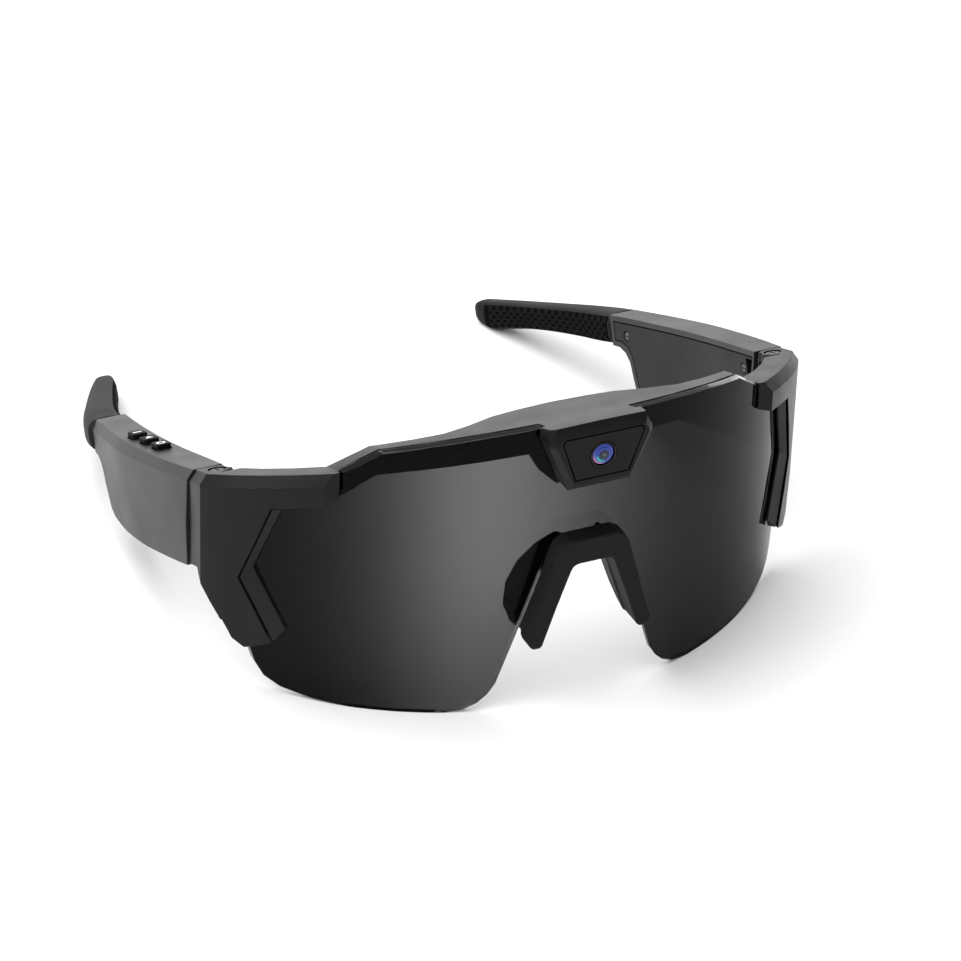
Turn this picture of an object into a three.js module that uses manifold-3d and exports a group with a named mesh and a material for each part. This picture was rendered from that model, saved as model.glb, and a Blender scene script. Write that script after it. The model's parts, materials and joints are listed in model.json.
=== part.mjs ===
// Smart glasses: a wraparound shield-lens frame with a camera over the nose, two hollow
// temples that fold on screw hinges, and three push buttons on the wearer's right temple.
// Millimetres. +Z is up and the glasses look along -Y. They stand on the two bottom edges
// of the lens and on the two ear tips, so the temples slope down towards the back.
import * as THREE from 'three';
import { mergeVertices } from 'three/addons/utils/BufferGeometryUtils.js';
import Module from 'manifold-3d';

const wasm = await Module();
wasm.setup();

// ---------------------------------------------------------------- driving dimensions
const GAP = 0.3;                                  // clearance between neighbouring pieces
const SLOPE = THREE.MathUtils.degToRad(20.8);     // fall of the temples towards the ears
const HINGE = { x: 73.3, z: 54.2 };               // hinge axis where it leaves the top face
const MIDDLE_Y = 36.72;                           // middle of the whole length, from the hinge
const SEAM_Y = 3.4;                               // end of the front, where the temples start

const LENS = { radius: 88, apexY: -46.4, wall: 1.8 };
const LENS_AXIS_Y = LENS.apexY + LENS.radius;
const RING_STEPS = 240;                           // facets of a full turn round the lens axis
const WING = { radius: 90.9, strip: 78.9, chamferIn: 1.8, chamferDown: 2.5 };
const SLOT_IN = LENS.radius - LENS.wall - GAP;    // radii of the slot that the lens sits in
const SLOT_OUT = LENS.radius + GAP;
const SLOT_MID = (SLOT_IN + SLOT_OUT) / 2;
const SLOT_END = { s: 87.2, y: -8.4 };            // end of the slot, and the wing's full depth
const BROW = { radius: 85.4, rise: 5.9, kinkRise: 4.5, kinkX: 45.8, jointX: 54 };

const CAMERA = { y: -53.9, z: 72.1, plate: 1.3, barrel: 3.05, glass: 2.6 };
const TEMPLE = { end: 82, depth: 24.5, wall: 1.5, cover: 1.2, chamferOut: 1.5, chamferDown: 2.3 };
const KNUCKLE = { radius: 2.4, bore: 1.3, top: -2.7, bottom: -12.3, half: 1.2 };
const PIN = { radius: 1.0, head: 1.9, headDown: 1.3, length: 14.2 };
const BUTTON = { x: 74.7, ys: [34.8, 43.4, 52], wide: 3.8, long: 4.8, proud: 1.2, stem: 2.2 };
const SCREW = { head: 1.15, shank: 0.6, deep: 3.2 };
const SCREW_PLACES = [[11.5, -5.2], [18, -20.6], [67.5, -19.6], [74.6, -5]];

// Colours and finishes of the real pieces.
const MATT_BLACK = { color: 0x242425, roughness: 0.62, metalness: 0 };
const SATIN_BLACK = { color: 0x303031, roughness: 0.5, metalness: 0 };
const GLOSS_BLACK = { color: 0x0d0d0e, roughness: 0.14, metalness: 0 };
const LENS_GREY = { color: 0x2b2b2d, roughness: 0.08, metalness: 0 };
const RUBBER = { color: 0x1f1f20, roughness: 0.85, metalness: 0 };
const STEEL = { color: 0x55575a, roughness: 0.35, metalness: 1 };
const BLUE_GLASS = { color: 0x24347c, roughness: 0.05, metalness: 0 };
const BOARD_GREEN = { color: 0x1d4a31, roughness: 0.55, metalness: 0 };
const FOIL = { color: 0x9a9da1, roughness: 0.4, metalness: 1 };
const AMBER = { color: 0xa8702a, roughness: 0.5, metalness: 0 };

// ---------------------------------------------------------------- shape helpers
const sin = Math.sin(SLOPE);
const cos = Math.cos(SLOPE);
const templeMatrix = new THREE.Matrix4().makeRotationX(-SLOPE).setPosition(0, 0, HINGE.z);

// Height of the sloping top plane, lifted by rise at right angles to it.
const roofZ = (y, rise = 0) => HINGE.z + (rise - y * sin) / cos;

// Depth in the temples' own axes of the upright plane y = plane, at height z in those axes.
const uprightY = (plane, z) => (plane - z * sin) / cos;

function solid(geometry) {
  const bare = geometry.clone();
  bare.deleteAttribute('normal');
  bare.deleteAttribute('uv');
  const merged = mergeVertices(bare, 1e-4);
  return new wasm.Manifold(new wasm.Mesh({
    numProp: 3,
    vertProperties: new Float32Array(merged.attributes.position.array),
    triVerts: new Uint32Array(merged.index.array),
  }));
}

function geometryOf(manifold) {
  const mesh = manifold.getMesh();
  const geometry = new THREE.BufferGeometry();
  geometry.setAttribute('position', new THREE.BufferAttribute(new Float32Array(mesh.vertProperties), 3));
  geometry.setIndex(new THREE.BufferAttribute(new Uint32Array(mesh.triVerts), 1));
  return geometry;
}

const unite = (first, ...rest) => rest.reduce((sum, next) => sum.add(next), first);
const cut = (first, ...rest) => rest.reduce((sum, next) => sum.subtract(next), first);

function mirrored(geometry) {
  const other = geometry.clone().applyMatrix4(new THREE.Matrix4().makeScale(-1, 1, 1));
  const index = other.index.array;
  for (let i = 0; i < index.length; i += 3) {
    [index[i], index[i + 1]] = [index[i + 1], index[i]];
  }
  return other;
}

const bothSides = (part) => part.add(solid(mirrored(geometryOf(part))));
const inRest = (geometry) => solid(geometry.applyMatrix4(templeMatrix));

function extrude(points, depth) {
  const shape = new THREE.Shape(points.map(([u, v]) => new THREE.Vector2(u, v)));
  return new THREE.ExtrudeGeometry(shape, { depth, bevelEnabled: false, curveSegments: 6 });
}

// Prisms along X, Y and Z. Their outlines are given as (y, z), (x, z) and (x, y).
const AXES = {
  x: new THREE.Matrix4().makeBasis(
    new THREE.Vector3(0, 1, 0), new THREE.Vector3(0, 0, 1), new THREE.Vector3(1, 0, 0)),
  y: new THREE.Matrix4().makeBasis(
    new THREE.Vector3(1, 0, 0), new THREE.Vector3(0, 0, 1), new THREE.Vector3(0, -1, 0)),
};
const prismX = (points, x0, x1) => extrude(points, x1 - x0).applyMatrix4(AXES.x).translate(x0, 0, 0);
const prismY = (points, y0, y1) => extrude(points, y1 - y0).applyMatrix4(AXES.y).translate(0, y1, 0);
const prismZ = (points, z0, z1) => extrude(points, z1 - z0).translate(0, 0, z0);

function box(low, high) {
  const size = high.map((value, i) => value - low[i]);
  return new THREE.BoxGeometry(...size).translate(
    ...low.map((value, i) => (value + high[i]) / 2));
}

// Cylinder or cone that stands along Z between two heights.
const postZ = (x, y, z0, z1, r0, r1 = r0, sides = 24) => new THREE.CylinderGeometry(r1, r0, z1 - z0, sides)
  .rotateX(Math.PI / 2).translate(x, y, (z0 + z1) / 2);
const postY = (x, z, y0, y1, radius, sides = 24) => new THREE.CylinderGeometry(radius, radius, y1 - y0, sides)
  .translate(x, (y0 + y1) / 2, z);

// Ring about the upright axis of the lens.
function ring(inner, outer, z0, z1) {
  const profile = [[inner, z0], [outer, z0], [outer, z1], [inner, z1], [inner, z0]];
  const points = profile.map(([r, z]) => new THREE.Vector2(r, z));
  return new THREE.LatheGeometry(points, RING_STEPS).rotateX(Math.PI / 2).translate(0, LENS_AXIS_Y, 0);
}

// Plan point on a circle about the lens axis, s millimetres round the lens from its middle.
function onRing(radius, s) {
  const angle = s / LENS.radius;
  return [radius * Math.sin(angle), LENS_AXIS_Y - radius * Math.cos(angle)];
}

// An outline drawn on the unrolled lens, seen from the front at the given radius.
const fromFront = (outline, radius) => outline.map(([s, z]) => [onRing(radius, s)[0], z]);

// Six times the volume inside a triangle list. It is negative when the faces point inwards.
function signedVolume(points, index) {
  let sum = 0;
  for (let i = 0; i < index.length; i += 3) {
    const [a, b, c] = [0, 1, 2].map((k) => new THREE.Vector3(...points[index[i + k]]));
    sum += a.dot(b.cross(c));
  }
  return sum;
}

// Closed skin through a row of rings that all have the same number of points.
function loft(rings) {
  const count = rings[0].length;
  const index = [];
  for (let i = 0; i < rings.length - 1; i += 1) {
    for (let j = 0; j < count; j += 1) {
      const a = i * count + j;
      const b = i * count + ((j + 1) % count);
      index.push(a, b, b + count, a, b + count, a + count);
    }
  }
  const last = (rings.length - 1) * count;
  for (let j = 1; j < count - 1; j += 1) {
    index.push(0, j + 1, j, last, last + j, last + j + 1);
  }
  if (signedVolume(rings.flat(), index) < 0) {
    index.reverse();
  }
  const geometry = new THREE.BufferGeometry();
  geometry.setAttribute('position', new THREE.Float32BufferAttribute(rings.flat(2), 3));
  geometry.setIndex(index);
  return geometry;
}

// Value at t in a table of [t, value...] rows, smoothly joined.
function along(table, t, column) {
  const rows = table.map((row) => new THREE.Vector2(row[0], row[column]));
  const i = Math.max(0, rows.slice(0, -1).findLastIndex((row) => row.x <= t));
  const span = (t - rows[i].x) / (rows[i + 1].x - rows[i].x);
  const before = rows[Math.max(0, i - 1)];
  const after = rows[Math.min(rows.length - 1, i + 2)];
  const slopeIn = ((rows[i + 1].y - before.y) / (rows[i + 1].x - before.x)) * (rows[i + 1].x - rows[i].x);
  const slopeOut = ((after.y - rows[i].y) / (after.x - rows[i].x)) * (rows[i + 1].x - rows[i].x);
  const u2 = span * span;
  const u3 = u2 * span;
  return (2 * u3 - 3 * u2 + 1) * rows[i].y + (u3 - 2 * u2 + span) * slopeIn
    + (3 * u2 - 2 * u3) * rows[i + 1].y + (u3 - u2) * slopeOut;
}

// ---------------------------------------------------------------- front frame
// Rise of the top face above the temple plane at x: arched in the middle, then a ramp.
function riseAt(x) {
  if (x > BROW.kinkX) {
    const ramp = (x - BROW.kinkX) / (BROW.jointX - BROW.kinkX);
    return BROW.kinkRise * Math.max(0, 1 - ramp);
  }
  return BROW.rise + (BROW.kinkRise - BROW.rise) * (x / BROW.kinkX) ** 2;
}

function underRoof() {
  const xs = [0, 15, 30, BROW.kinkX, BROW.jointX, 90];
  const top = xs.map((x) => [x, riseAt(x)]);
  const left = top.slice(1).reverse().map(([x, rise]) => [-x, rise]);
  const outline = [[90, -80], ...top.reverse(), ...left.reverse(), [-90, -80]];
  return inRest(prismY(outline, -90, 40));
}

// The back edge of the brow in plan, from the middle to the hinge.
const BROW_BACK = [[0, -25], [9, -25.5], [16, -26.8], [23, -29.8], [30, -31.6], [37, -29.6],
  [44.5, -26.2], [53.8, -19.8], [60.2, -14.6], [65.3, -9.1], [69, -3.7], [70.9, 1]];
// The underside of the part behind the lens: x and height in the temples' own axes.
const BROW_DEEP = -1.2;
const BROW_UNDER = [[-1, BROW_DEEP], [BROW.kinkX, -1.8], [BROW.jointX, -7], [60, -8], [75, -8]];

function browBehindLens() {
  const innerArc = [0, 8, 16, 24, 32, 40, 48, 54.5].map((s) => onRing(BROW.radius, s));
  const outerArc = [56.5, 64, 72, 80].map((s) => onRing(SLOT_MID, s));
  const plan = solid(prismZ([...innerArc, ...outerArc, [71.6, -6], ...[...BROW_BACK].reverse()], 30, 95));
  return plan.intersect(inRest(prismY([...BROW_UNDER, [75, 40], [-1, 40]], -90, 40)));
}

// Arm in front of the lens, with a pointed end, and the side block behind the lens edge.
function wingBlock() {
  const arc = [60.8, 66, 72, 78, 84, 90].map((s) => onRing(WING.radius, s));
  const nose = onRing(LENS.radius + GAP, 58.2);
  const plan = [nose, ...arc, [WING.strip, -3.4], [WING.strip, SEAM_Y], [70.4, SEAM_Y], [70.9, 1],
    [71.6, -6], ...[80, 72, 64, 58.2].map((s) => onRing(SLOT_MID, s))];
  return solid(prismZ(plan, 0, 95));
}

// Front outline of the wing on the unrolled lens: arm, V-shaped edge and tapering foot.
const ARM_DROP = -8;
const VEE = { top: [73.8, 53.15], corner: [82.2, 31.3], low: [73.5, 15.6] };
const ACCENT = { sunk: 0.5, lip: 0.5, narrow: 2.9 };
const FOOT = [[80.5, 12.2], [83.7, 13.7]];

function wingFront() {
  const armEdge = [56, 66, VEE.top[0]].map((s) => [s, roofZ(onRing(WING.radius, s)[1], ARM_DROP)]);
  const outline = [...armEdge, VEE.corner, VEE.low, ...FOOT, [100, 36], [100, 95], [56, 95]];
  const front = unite(solid(prismY(fromFront(outline, WING.radius), -60, SLOT_END.y)),
    solid(box([40, SLOT_END.y, 0], [95, 20, 95])));
  const side = solid(prismX([[20, 27.2], [20, 95], [-60, 95], [-60, 12.2], [-12.4, 12.2],
    [-10.9, 13.7], [-1.2, 28.9], [SEAM_Y, 27.2]], 40, 90));
  return front.intersect(side);
}

// Long wedge that bevels the outer top edge of the wing, then of the strip at the hinge.
function wingChamfer() {
  const { chamferIn, chamferDown } = WING;
  const spare = 0.5;
  const rings = [52, 60, 68, 76, 84, 91, 95].map((s) => {
    const topZ = roofZ(onRing(WING.radius - chamferIn, s)[1]);
    const lowZ = topZ - chamferDown / cos;
    const section = [[WING.radius - chamferIn * (1 + spare), topZ + (topZ - lowZ) * spare],
      [WING.radius + chamferIn * spare, lowZ - (topZ - lowZ) * spare],
      [WING.radius + 5, lowZ - 2], [WING.radius + 5, topZ + 6],
      [WING.radius - chamferIn * (1 + spare), topZ + 6]];
    return section.map(([r, z]) => [...onRing(r, s), z]);
  });
  const strip = [[WING.strip - chamferIn * 1.25, chamferDown * 0.25],
    [WING.strip + chamferIn, -chamferDown * 2], [86, -chamferDown * 2], [86, 6], [WING.strip - 2.25, 6]];
  return unite(solid(loft(rings)), inRest(prismY(strip, -3.4, 20)));
}

// Room for the temple to swing: a pocket for its knuckle, the two lugs' bore and a cone
// that the inner edge of the folding temple clears.
function hingeRoom() {
  const { x } = HINGE;
  const pocket = box([x - 14, -KNUCKLE.half - 0.4, KNUCKLE.bottom - GAP],
    [x + KNUCKLE.half + GAP, 14, KNUCKLE.top + GAP]);
  const eye = postZ(x, 0, KNUCKLE.bottom - GAP, KNUCKLE.top + GAP, KNUCKLE.radius + 0.4);
  const bore = postZ(x, 0, -PIN.length - 1, 2, PIN.radius + GAP);
  const sink = postZ(x, 0, -PIN.headDown - GAP, 2, PIN.head + GAP);
  const sweep = solid(box([x - 30, -4.2, -45], [x, 40, 8]));
  const reach = (z) => uprightY(SEAM_Y, z) - 0.1;
  const kept = solid(postZ(x, 0, -45, 8, reach(-45), reach(8), 48));
  const tools = [pocket, eye, bore, sink].map((tool) => inRest(tool));
  return unite(inRest(geometryOf(cut(sweep, kept))), ...tools);
}

function lensSlot() {
  const edge = [57.9, 62, 70, 81.2].map((s) => [s, roofZ(onRing(LENS.radius, s)[1], -3.9)]);
  const outline = [[50, -5], [SLOT_END.s, -5], [SLOT_END.s, 35.4], ...edge.reverse(), [57.9, 95], [50, 95]];
  return solid(ring(SLOT_IN, SLOT_OUT, -5, 95)).intersect(
    solid(prismY(fromFront(outline, LENS.radius), -60, 20)));
}

// Trapezoid camera hood in front of the lens, tied to the brow over the lens's top edge.
const HOOD = [[8.1, 63.5], [12.9, 75.2], [12.9, 76.6], [11.4, 79.3]];
const HOOD_RIM = [[7.2, 65], [11.6, 75.5], [11.6, 76.4], [10.4, 78.3]];
const PLATE = [[6.6, 66.6], [10, 76.2], [10, 77], [9.4, 77.6]];
const closedPair = (half) => [...half, ...half.map(([x, z]) => [-x, z]).reverse()];
const BRIDGE = { x: 11.4, coreX: 7.9, under: 76.4, coreUnder: 66.6, back: -40 };

function cameraHood() {
  const shapes = [[-46.7, HOOD.map(([x, z], i) => (i === 3 ? [x, 88] : [x, z]))],
    [CAMERA.y + 1.3, HOOD], [CAMERA.y, HOOD_RIM]];
  const hood = loft(shapes.map(([y, half]) => closedPair(half).map(([x, z]) => [x, y, z])));
  const bridge = box([-BRIDGE.x, -47, BRIDGE.under], [BRIDGE.x, BRIDGE.back, 88]);
  const core = box([-BRIDGE.coreX, -47, BRIDGE.coreUnder], [BRIDGE.coreX, BRIDGE.back, 78]);
  return unite(solid(hood), solid(bridge), solid(core));
}

function cameraRoom() {
  const grown = closedPair(PLATE.map(([x, z]) => [x + GAP, z + (z > CAMERA.z ? GAP : -GAP)]));
  const plate = prismY(grown, CAMERA.y - 1, CAMERA.y + CAMERA.plate + GAP);
  const front = box([-6.2, CAMERA.y, 67.6], [6.2, -43, 75.8]);
  const rear = box([-9, -43.6, 60], [9, -34.5, 71.6]);
  return unite(solid(plate), solid(front), solid(rear));
}

function frontFrame() {
  const wing = wingBlock().intersect(wingFront());
  const half = cut(unite(browBehindLens(), wing), lensSlot(), wingChamfer(), hingeRoom());
  const whole = unite(bothSides(half), cameraHood());
  return cut(whole.intersect(underRoof()), cameraRoom());
}

// ---------------------------------------------------------------- lens and its trims
const LENS_STEP = 11.8;                           // the lens rises beside the camera's bridge

function lensOutline() {
  const below = 0.7;
  const topEdge = [LENS_STEP, 24, 36, 48.1, 57.5].map((s) => {
    const [x, y] = onRing(LENS.radius, s);
    return [s, roofZ(y, riseAt(x)) - below];
  });
  const hidden = [57.6, 70, 80.5].map((s) => [s, roofZ(onRing(LENS.radius, s)[1], -4.2)]);
  const outerCorner = [[86.4, 35], [86.4, 26], [82, 17], [81, 11.8], [79.2, 7], [76.8, 3.8], [72.5, 1.9],
    [64, 0.6], [55, 0]];
  const innerCorner = [[33, 0], [28, 0.8], [24.8, 2.5], [22.4, 4.8], [20.6, 7.6]];
  const notch = [[8.5, 43.6], [7, 45.6], [4.6, 46.3]];
  return [[8.5, 66.2], [8.5, 75.8], [LENS_STEP, 75.8], ...topEdge, ...hidden, ...outerCorner, ...innerCorner,
    ...notch];
}

function shieldLens() {
  const half = fromFront(lensOutline(), LENS.radius);
  return solid(ring(LENS.radius - LENS.wall, LENS.radius, -5, 95)).intersect(
    solid(prismY(closedPair(half), -60, 20)));
}

// One arm of the accent. It stands proud along the wing's edge and slopes down to the lens.
function accentArm(outer, inner) {
  const placed = (edge, radius) => edge.map(([s, z]) => [...onRing(radius, s), z]);
  const foot = [...placed(outer, SLOT_OUT), ...placed(inner, SLOT_OUT)];
  const face = [...placed(outer, WING.radius - ACCENT.sunk), ...placed(inner, SLOT_OUT + ACCENT.lip)];
  return solid(loft([foot, face]));
}

// V-shaped accent that lies in front of the lens along the wing's edge.
function chevron() {
  const { top, corner, low } = VEE;
  const outer = [[top[0] - GAP, top[1] - 0.6], [corner[0] - GAP, corner[1]], [low[0] - GAP, low[1] + 0.4]];
  const inner = [[top[0] - 1.6 - GAP, top[1] - 0.8], [corner[0] - ACCENT.narrow, corner[1] + 2.9],
    [low[0] - 2.6, low[1] + 3.6]];
  const upper = accentArm([outer[0], outer[1]], [inner[1], inner[0]]);
  const lower = accentArm([outer[1], outer[2]], [inner[2], inner[1]]);
  return unite(upper, lower).intersect(solid(box([40, -60, 0], [95, SLOT_END.y - GAP, 95])));
}

// ---------------------------------------------------------------- camera

function facePlate() {
  const plate = solid(prismY(closedPair(PLATE), CAMERA.y, CAMERA.y + CAMERA.plate));
  return cut(plate, solid(postY(0, CAMERA.z, CAMERA.y - 1, CAMERA.y + 3, CAMERA.barrel + GAP, 32)));
}

function lensBarrel() {
  const { barrel, glass } = CAMERA;
  const profile = [[0, 1.6], [glass + GAP / 2, 1.6], [glass + 0.15, -0.3], [barrel - 0.2, -0.3],
    [barrel, -0.1], [barrel, 4.6], [0, 4.6]];
  return new THREE.LatheGeometry(profile.map(([r, y]) => new THREE.Vector2(r, y)), 32)
    .translate(0, CAMERA.y, CAMERA.z);
}

function frontGlass() {
  const { glass } = CAMERA;
  const profile = [[0, -0.38], [glass * 0.36, -0.3], [glass * 0.7, -0.05], [glass - GAP, 0.4],
    [glass - GAP, 1.3], [0, 1.3]];
  return new THREE.LatheGeometry(profile.map(([r, y]) => new THREE.Vector2(r, y)), 32)
    .translate(0, CAMERA.y, CAMERA.z);
}

const sensorHolder = () => box([-4.2, CAMERA.y + 4.9, CAMERA.z - 3.9], [4.2, CAMERA.y + 8.2, CAMERA.z + 3.4]);
const sensorBoard = () => box([-5.2, CAMERA.y + 8.5, CAMERA.z - 4.2], [5.2, CAMERA.y + 9.3, CAMERA.z + 3.4]);

function cameraRibbon() {
  const y = CAMERA.y + 9.6;
  const path = [[y, 70.6], [-35.4, 70.6], [-35.4, 71], [y, 71]];
  return prismX(path, -2, 2);
}

// Rear half of the camera housing, behind the lens and below the brow.
function rearHousing() {
  const half = [[6.3, 59.6], [11, 64.4], [13.2, 68.9]];
  const shrink = (amount) => half.map(([x, z]) => [x - amount, z + (z < 65 ? amount : 0)]);
  const shapes = [[-43.1, shrink(0)], [-38, shrink(0.3)], [-33, shrink(1.6)]];
  const shell = loft(shapes.map(([y, points]) => closedPair(points).map(([x, z]) => [x, y, z])));
  const aboveBrow = inRest(box([-30, -90, BROW_DEEP - GAP], [30, 40, 40]));
  return cut(solid(shell), solid(box([-6, -41.6, 62], [6, -35, 75])), aboveBrow);
}

// ---------------------------------------------------------------- nose piece
// Rubber bridge: a front band on the lens, a wall through its notch and two rear pads.
const BAND = {
  outer: [[15.9, 22.8], [12.5, 34], [9.3, 45], [8.2, 47.2], [6, 48.4]],
  inner: [[12.3, 21.2], [9, 31], [5.6, 40.4], [4.9, 41.5], [3.6, 41.9]],
  foot: [[15.4, 21.2], [14.6, 20.6], [12.9, 20.6]],
};
const NOSE_Y = { front: -51.9, band: -46.75, wall: -44 };

const archOutline = (outer, inner, foot) => {
  const half = [...[...outer].reverse(), ...foot, ...inner];
  return [...half, ...half.map(([x, z]) => [-x, z]).reverse()];
};

function nosePad() {
  const rows = [[45.6, 2.2, 1.4], [41, 6, 2.1], [35, 9, 2.5], [29, 10, 2.6], [24, 8.6, 2.4], [21.2, 5, 1.8]];
  const rings = rows.map(([z, deep, thick]) => {
    const x = 19.6 - 0.336 * z;
    const flare = deep * 0.2;
    const back = NOSE_Y.wall + deep;
    return [[x - 0.6, NOSE_Y.wall - 1.2, z], [x + thick - 1.2, NOSE_Y.wall - 1.2, z],
      [x + thick, NOSE_Y.wall + 0.7, z], [x + thick * 0.9 + flare, back, z],
      [x + thick * 0.2 + flare, back + 0.5, z], [x - 0.4 + flare * 0.7, back - 0.8, z]];
  });
  return loft(rings.reverse());
}

function nosePiece() {
  const band = prismY(archOutline(BAND.outer, BAND.inner, BAND.foot), NOSE_Y.front, NOSE_Y.band);
  const shrunk = BAND.outer.map(([x, z], i) => [x - 1.2 - i * 0.28, z - i * 0.75]);
  const wall = prismY(archOutline(shrunk, BAND.inner, [[14.4, 20.9], [12.9, 20.6]]), NOSE_Y.band - 0.5,
    NOSE_Y.wall);
  return bothSides(solid(nosePad())).add(solid(band)).add(solid(wall));
}

// ---------------------------------------------------------------- temples, in their own axes
// Plan of a temple: distance back from the hinge, inner face, outer edge of the top face.
const TEMPLE_PLAN = [[0, 70.3, 77.4], [15, 70.6, 78.6], [30, 70.9, 79.1], [45, 70.6, 79], [60, 69.7, 77.9],
  [72, 68.7, 76.5], [84, 67.4, 74.9]];
const TEMPLE_STEPS = Array.from({ length: 22 }, (_, i) => i * 4);

// Side outline of a temple, from the seam with the front round to the ear tip.
function templeSide(inset, front, end) {
  const low = -TEMPLE.depth + inset;
  const back = 72.4 - inset;
  return [[uprightY(front, 0), -inset], [uprightY(front, low), low], [40, low], [58, low + 0.5],
    [back - 3, low + 2], [back, low + 3.8], [back + 1.2, -16 + inset], [back + 2, -12 + inset],
    [back + 3.8, -9.6 + inset],
    [back + 6.4, -8.4 + inset], [end, -8.2 + inset], [end, -inset]];
}

// Skin of a temple moved inwards by inset on its outer face and starting at inner + from.
function templeSkin(from, inset) {
  const bulge = TEMPLE.chamferOut - inset * 0.8;
  return loft(TEMPLE_STEPS.map((y) => {
    const inner = along(TEMPLE_PLAN, y, 1) + from;
    const outer = along(TEMPLE_PLAN, y, 2) - inset;
    return [[inner, y, 2], [inner, y, -30], [outer + bulge * 0.4, y, -30], [outer + bulge, y, -14],
      [outer + bulge, y, -TEMPLE.chamferDown], [outer, y, 0], [outer - 1, y, 2]];
  }));
}

const templeSolid = (from, inset, sideInset, front, end) => solid(templeSkin(from, inset)).intersect(
  solid(prismX(templeSide(sideInset, front, end), 55, 90)));

function screwSeats(radius, from, to) {
  return SCREW_PLACES.map(([y, z]) => {
    const x = along(TEMPLE_PLAN, y, 1);
    return solid(new THREE.CylinderGeometry(radius, radius, to - from, 16).rotateZ(Math.PI / 2)
      .translate(x + (from + to) / 2, y, z));
  });
}

function templeCase(withButtons) {
  const outside = templeSolid(0, 0, 0, SEAM_Y + 0.4, TEMPLE.end);
  const rim = templeSolid(-4, TEMPLE.wall, TEMPLE.wall, SEAM_Y + 0.4 + TEMPLE.wall, TEMPLE.end - TEMPLE.wall);
  const leaf = box([HINGE.x - KNUCKLE.half - GAP, -6, KNUCKLE.bottom - GAP],
    [HINGE.x + KNUCKLE.half + GAP, 14, KNUCKLE.top + GAP]);
  const tools = [rim, solid(leaf)];
  if (withButtons) {
    BUTTON.ys.forEach((y) => tools.push(solid(buttonShaft(y, GAP, -4, 3))));
  }
  return cut(outside, ...tools);
}

function templeCover(withSocket) {
  const clear = TEMPLE.wall + GAP;
  const plate = templeSolid(0, 0, clear, SEAM_Y + 0.4 + clear, TEMPLE.end - clear)
    .subtract(templeSolid(TEMPLE.cover, -4, -3, 0, TEMPLE.end + 8));
  const sinks = screwSeats(SCREW.head + GAP, -1, 0.9);
  const holes = screwSeats(SCREW.shank + GAP, -1, 3);
  const leaf = box([60, -6, KNUCKLE.bottom - GAP], [HINGE.x + KNUCKLE.half + GAP, 9.5, KNUCKLE.top + GAP]);
  const tools = [...sinks, ...holes, solid(leaf)];
  if (withSocket) {
    tools.push(solid(socketShape(GAP, -2, 3)));
  }
  return cut(plate, ...tools);
}

function hingeLeaf() {
  const { half, top, bottom } = KNUCKLE;
  const arm = box([HINGE.x - half, 0, bottom], [HINGE.x + half, 10.2, top]);
  const eye = postZ(HINGE.x, 0, bottom, top, KNUCKLE.radius);
  return cut(unite(solid(arm), solid(eye)), solid(postZ(HINGE.x, 0, bottom - 1, top + 1, KNUCKLE.bore)));
}

function hingeScrew() {
  const { radius, head, headDown, length } = PIN;
  const profile = [[0, -length], [radius, -length], [radius, -headDown], [head, -headDown],
    [head, -0.4], [head - 0.25, -0.2], [0, -0.2]];
  const screw = solid(new THREE.LatheGeometry(profile.map(([r, z]) => new THREE.Vector2(r, z)), 24)
    .rotateX(Math.PI / 2).translate(HINGE.x, 0, 0));
  const slots = [[1.25, 0.28], [0.28, 1.25]].map(([u, v]) => solid(
    box([HINGE.x - u, -v, -0.9], [HINGE.x + u, v, 0.5])));
  return cut(screw, ...slots);
}

function coverScrew([y, z]) {
  const x = along(TEMPLE_PLAN, y, 1);
  const { head, shank, deep } = SCREW;
  const profile = [[0, deep], [shank, deep], [shank, 0.9 - GAP], [head, 0.9 - GAP], [head, 0.15],
    [head - 0.2, 0], [0, 0]].reverse();
  const screw = solid(new THREE.LatheGeometry(profile.map(([r, h]) => new THREE.Vector2(r, h)), 16)
    .rotateZ(-Math.PI / 2).translate(x, y, z));
  const slots = [[0.75, 0.16], [0.16, 0.75]].map(([u, v]) => solid(
    box([x - 1, y - u, z - v], [x + 0.35, y + u, z + v])));
  return cut(screw, ...slots);
}

// Rounded rubber ear tip. Rows: distance back, inner face, outer face, underside.
const TIP_ROWS = [[82.3, 67.7, 77.6, -8.4], [90, 66.3, 76.3, -8.5], [99, 64.2, 73.4, -7.9],
  [108, 61.3, 69.8, -7.3], [117, 58.3, 66.2, -7.1], [125, 55.5, 62.9, -7.5], [131, 53.5, 60.2, -7.92],
  [135, 52.4, 58.2, -6.62], [136.9, 52.6, 56.6, -5.6]];
const TIP_STEPS = [82.3, 86, 90, 94.5, 99, 103.5, 108, 112.5, 117, 121, 125, 128.5, 131, 133.2, 135, 136.2, 136.9];
const TIP_SIDES = 14;
const TIP_TOP = -0.05;
const TIP_FALL = { from: 135.2, rate: 0.35 };      // the crown drops over the last rings

function earTip() {
  const squareness = 0.62;
  const bend = (v) => Math.sign(v) * Math.abs(v) ** squareness;
  return loft(TIP_STEPS.map((y) => {
    const [inner, outer, under] = [1, 2, 3].map((column) => along(TIP_ROWS, y, column));
    const crown = y < TIP_FALL.from ? TIP_TOP : TIP_TOP - (y - TIP_FALL.from) * TIP_FALL.rate;
    return Array.from({ length: TIP_SIDES }, (_, k) => {
      const angle = ((k + 0.5) / TIP_SIDES) * 2 * Math.PI;
      const x = (inner + outer) / 2 - bend(Math.cos(angle)) * (outer - inner) / 2;
      return [x, y, (crown + under) / 2 + bend(Math.sin(angle)) * (crown - under) / 2];
    });
  }));
}

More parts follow.
